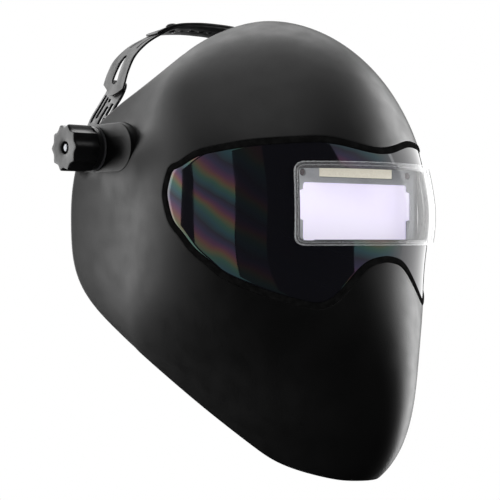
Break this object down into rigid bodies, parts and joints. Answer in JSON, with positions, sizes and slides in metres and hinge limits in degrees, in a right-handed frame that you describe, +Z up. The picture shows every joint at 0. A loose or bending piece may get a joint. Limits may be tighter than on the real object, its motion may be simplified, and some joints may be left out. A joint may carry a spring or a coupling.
{
  "type": "welding helmet",
  "caption": "Flip-up welding helmet with a dark wrap-round visor, an auto-darkening filter behind a clear cover, ratchet headgear, a crown strap and tension knobs at its pivots.",
  "frame": {"origin": "middle of the pivot axis that joins the shell to the headgear, inside the wearer's head", "axes": "+X to the wearer's left, -Y to the front, +Z up"},
  "size_m": [0.2854, 0.3244, 0.3374],
  "materials": {
    "shell_plastic": "fine texture with a soft sheen",
    "gasket_rubber": "satin",
    "visor_plastic": "polished, with a rainbow coating",
    "clear_plastic": "polished, clear",
    "black_plastic": "satin moulded",
    "filter_case_plastic": "satin, silvery",
    "filter_glass": "polished, milky",
    "solar_cell": "glossy",
    "sensor_window": "glossy",
    "circuit_board": "satin",
    "battery_steel": "brushed",
    "dial_plastic": "satin moulded",
    "knob_plastic": "satin face, fine texture",
    "washer_plastic": "satin",
    "white_plastic": "satin",
    "stud_steel": "turned",
    "nut_brass": "machined",
    "strap_plastic": "smooth with a strong sheen",
    "foam_fabric": "brushed cloth over foam"
  },
  "bodies": {
    "headgear": {"headband": "black_plastic", "sweatband": "foam_fabric", "side_arm_right": "black_plastic", "side_arm_left": "black_plastic", "arm_rivet_front_right": "black_plastic", "arm_rivet_front_left": "black_plastic", "arm_rivet_rear_right": "black_plastic", "arm_rivet_rear_left": "black_plastic", "crown_strap_right": "strap_plastic", "crown_strap_left": "strap_plastic", "crown_peg": "black_plastic", "pivot_stud_right": "stud_steel", "pivot_stud_left": "stud_steel", "angle_stop_right": "black_plastic", "angle_stop_left": "black_plastic", "outer_washer_right": "washer_plastic", "outer_washer_left": "washer_plastic", "rack_strap_right": "black_plastic", "rack_strap_left": "black_plastic"},
    "shell": {"helmet_shell": "shell_plastic", "visor_gasket": "gasket_rubber", "panoramic_visor": "visor_plastic", "front_cover_lens": "clear_plastic", "filter_holder": "filter_case_plastic", "cartridge_case": "filter_case_plastic", "filter_glass": "filter_glass", "solar_cell": "solar_cell", "arc_sensor_right": "sensor_window", "arc_sensor_left": "sensor_window", "circuit_board": "circuit_board", "battery_right": "battery_steel", "battery_left": "battery_steel", "inner_cover_lens": "clear_plastic", "filter_retainer": "black_plastic", "shell_bush_right": "white_plastic", "shell_bush_left": "white_plastic"},
    "shade_dial": {"shade_dial": "dial_plastic"},
    "sensitivity_dial": {"sensitivity_dial": "dial_plastic"},
    "knob_right": {"tension_knob_right": "knob_plastic", "knob_nut_right": "nut_brass"},
    "knob_left": {"tension_knob_left": "knob_plastic", "knob_nut_left": "nut_brass"},
    "rear_adjuster": {"ratchet_housing": "black_plastic", "housing_cover": "black_plastic", "nape_pad": "foam_fabric"},
    "nape_knob": {"ratchet_pinion": "white_plastic", "ratchet_knob": "black_plastic"}
  },
  "joints": [
    {"name": "shell_flip", "type": "hinge", "parent": "headgear", "child": "shell", "pos_m": [0, 0, 0], "axis": [-1, 0, 0], "range_deg": [0, 80]},
    {"name": "knob_right_turn", "type": "hinge", "parent": "headgear", "child": "knob_right", "pos_m": [-0.13, 0, 0], "axis": [-1, 0, 0], "range_deg": [0, 360]},
    {"name": "knob_left_turn", "type": "hinge", "parent": "headgear", "child": "knob_left", "pos_m": [0.13, 0, 0], "axis": [1, 0, 0], "range_deg": [0, 360]},
    {"name": "shade_dial_turn", "type": "hinge", "parent": "shell", "child": "shade_dial", "pos_m": [-0.024, -0.138, -0.0165], "axis": [0, -1, 0], "range_deg": [0, 240]},
    {"name": "sensitivity_dial_turn", "type": "hinge", "parent": "shell", "child": "sensitivity_dial", "pos_m": [0.024, -0.138, -0.0165], "axis": [0, -1, 0], "range_deg": [0, 270]},
    {"name": "ratchet_slide", "type": "slide", "parent": "headgear", "child": "rear_adjuster", "axis": [0, -1, 0], "range_m": [0, 0.018], "deforming": ["rack_strap_right", "rack_strap_left"]},
    {"name": "nape_knob_turn", "type": "hinge", "parent": "rear_adjuster", "child": "nape_knob", "pos_m": [0, 0.112, -0.03916], "axis": [0, -1, 0], "range_deg": [0, 181]}
  ],
  "couplings": [
    {"joint": "nape_knob_turn", "follows": "ratchet_slide", "rad_per_m": 175.44}
  ]
}
